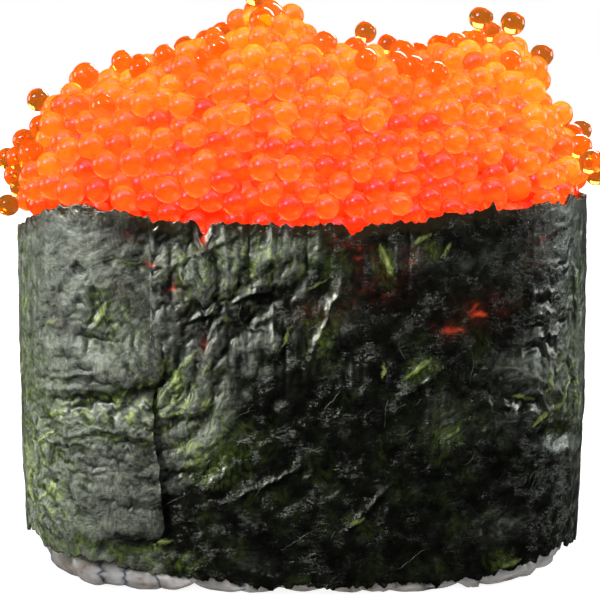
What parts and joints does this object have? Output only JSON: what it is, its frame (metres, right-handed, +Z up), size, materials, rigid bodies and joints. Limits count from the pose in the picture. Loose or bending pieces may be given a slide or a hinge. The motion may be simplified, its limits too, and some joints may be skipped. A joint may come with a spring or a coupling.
{
  "type": "gunkan sushi",
  "caption": "Oval block of sushi rice wrapped upright in a lapped strip of nori and topped with a tall heap of orange roe.",
  "frame": {"origin": "middle of the rice's flat underside, on the surface that the sushi rests on", "axes": "+X along the sushi's length, +Y across its depth with -Y the front, +Z up"},
  "size_m": [0.0575, 0.0314, 0.0544],
  "materials": {
    "rice": "moist, translucent cooked grains",
    "nori": "dry, crinkled, half-glossy pressed seaweed",
    "roe": "wet, glossy, translucent eggs"
  },
  "bodies": {
    "root": {"rice": "rice", "nori": "nori", "roe": "roe"}
  },
  "joints": []
}
